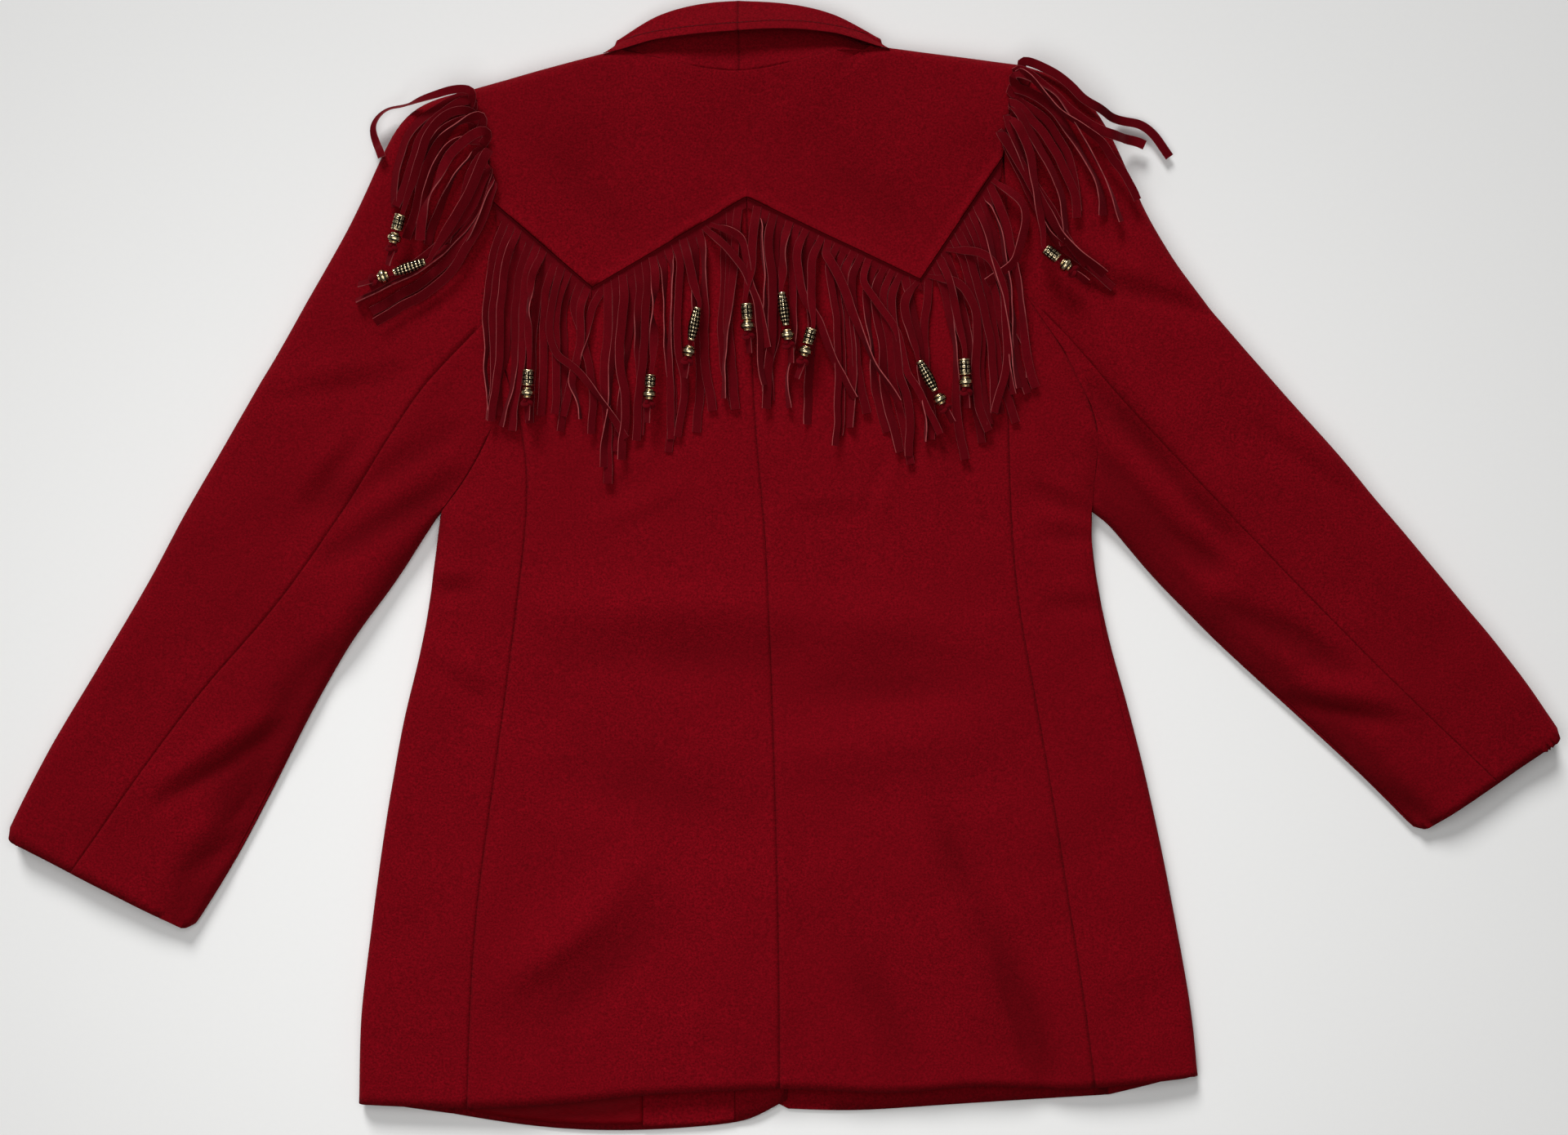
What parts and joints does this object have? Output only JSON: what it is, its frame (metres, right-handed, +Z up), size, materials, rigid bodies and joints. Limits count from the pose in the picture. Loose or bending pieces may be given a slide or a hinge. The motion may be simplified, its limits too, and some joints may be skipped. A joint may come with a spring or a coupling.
{
  "type": "western blazer",
  "caption": "Women's red wool western blazer laid flat with its back up, with a shawl collar, a pointed back yoke, suede fringe and metal beads; a garment to lay out, fold or sell.",
  "frame": {"origin": "middle of the footprint, on the surface that the blazer lies on", "axes": "+Z up from the surface, +Y from the hem to the collar, +X to the wearer's right sleeve"},
  "size_m": [1.128, 0.8191, 0.0368],
  "materials": {
    "wool": "brushed melton wool",
    "lining": "satin",
    "suede": "suede",
    "bead_metal": "antique, engraved"
  },
  "bodies": {
    "root": {"back_yoke": "wool", "back_left": "wool", "side_left": "wool", "front_left": "wool", "top_sleeve_left": "wool", "under_sleeve_left": "wool", "collar_left": "wool", "lapel_left": "wool", "back_right": "wool", "side_right": "wool", "front_right": "wool", "top_sleeve_right": "wool", "under_sleeve_right": "wool", "collar_right": "wool", "lapel_right": "wool", "facing_left": "wool", "lining_left": "lining", "fringe_yoke_1": "suede", "fringe_yoke_2": "suede", "fringe_yoke_3": "suede", "fringe_yoke_4": "suede", "fringe_shoulder_left": "suede", "fringe_shoulder_right": "suede", "bead_1": "bead_metal", "ball_1": "bead_metal", "bead_2": "bead_metal", "ball_2": "bead_metal", "bead_3": "bead_metal", "ball_3": "bead_metal", "bead_4": "bead_metal", "ball_4": "bead_metal", "bead_5": "bead_metal", "ball_5": "bead_metal", "bead_6": "bead_metal", "ball_6": "bead_metal", "bead_7": "bead_metal", "ball_7": "bead_metal", "bead_8": "bead_metal", "ball_8": "bead_metal", "bead_9": "bead_metal", "ball_9": "bead_metal", "bead_10": "bead_metal", "ball_10": "bead_metal", "bead_11": "bead_metal", "ball_11": "bead_metal"}
  },
  "joints": []
}
